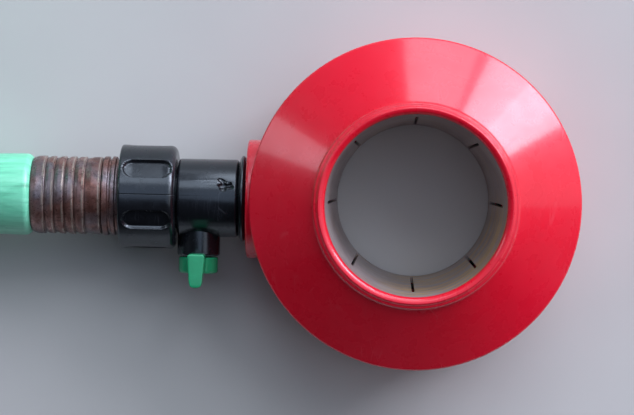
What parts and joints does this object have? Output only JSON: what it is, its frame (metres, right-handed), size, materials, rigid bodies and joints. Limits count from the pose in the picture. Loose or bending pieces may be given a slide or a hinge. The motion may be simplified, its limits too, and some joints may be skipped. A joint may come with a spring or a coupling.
{
  "type": "ring-head watering wand",
  "caption": "Hose-end watering wand head: red annular chamber with a slotted inner sleeve that sprays inward, quarter-turn valve, swivel coupling, and its short garden hose.",
  "frame": {"origin": "centre of the underside of the wand's own box (ring head, valve and coupling nut, without the hose), on the surface it lies on", "axes": "+Z along the ring's axis, out of its conical front; +X from the hose coupling towards the ring; the valve stem points along -Y"},
  "size_m": [0.5649, 0.3563, 0.0876],
  "materials": {
    "shell_red": "glossy moulded red",
    "black_plastic": "satin moulded black",
    "green_plastic": "glossy moulded green",
    "sleeve_metal": "satin",
    "steel_hardware": "plain",
    "brass_plain": "dull brass",
    "brass_tarnished": "tarnished, reddish brown",
    "rubber_seal": "black seal",
    "seat_white": "white low-friction plastic",
    "hose_green": "mint green hose, mottled"
  },
  "bodies": {
    "head": {"front_cone_cap": "shell_red", "rear_housing": "shell_red", "spray_sleeve": "sleeve_metal", "front_sleeve_oring": "rubber_seal", "rear_sleeve_oring": "rubber_seal", "rim_gasket": "rubber_seal", "housing_screw_1": "steel_hardware", "housing_screw_2": "steel_hardware", "housing_screw_3": "steel_hardware", "housing_screw_4": "steel_hardware", "housing_screw_5": "steel_hardware", "housing_screw_6": "steel_hardware", "outlet_adapter": "black_plastic", "inlet_oring": "rubber_seal", "valve_body": "black_plastic", "ball_seat_inlet": "seat_white", "ball_seat_outlet": "seat_white", "stem_gland": "brass_plain", "nut_snap_ring": "steel_hardware", "hose_washer": "rubber_seal", "male_fitting": "brass_tarnished", "male_ferrule": "brass_tarnished", "hose_crimped_end": "hose_green", "hose_run": "hose_green", "hose_coil": "hose_green", "hose_tail": "hose_green", "tap_ferrule": "brass_tarnished", "tap_hose_crimped_end": "hose_green", "tap_tail": "brass_plain", "tap_washer": "rubber_seal"},
    "valve_key": {"valve_ball": "steel_hardware", "valve_stem": "brass_plain", "stem_oring": "rubber_seal", "valve_lever": "green_plastic", "lever_screw": "steel_hardware"},
    "hose_nut": {"coupling_nut": "black_plastic"},
    "tap_nut": {"tap_swivel_nut": "brass_plain"}
  },
  "joints": [
    {"name": "valve_turn", "type": "hinge", "parent": "head", "child": "valve_key", "pos_m": [-0.05025, 0, 0.02025], "axis": [0, -1, 0], "range_deg": [0, 90]},
    {"name": "coupling_swivel", "type": "hinge", "parent": "head", "child": "hose_nut", "pos_m": [-0.06775, 0, 0.02025], "axis": [1, 0, 0], "continuous": true},
    {"name": "tap_swivel", "type": "hinge", "parent": "head", "child": "tap_nut", "pos_m": [-0.37485, 0.00095, 0.072], "axis": [1, 0, 0], "continuous": true}
  ]
}
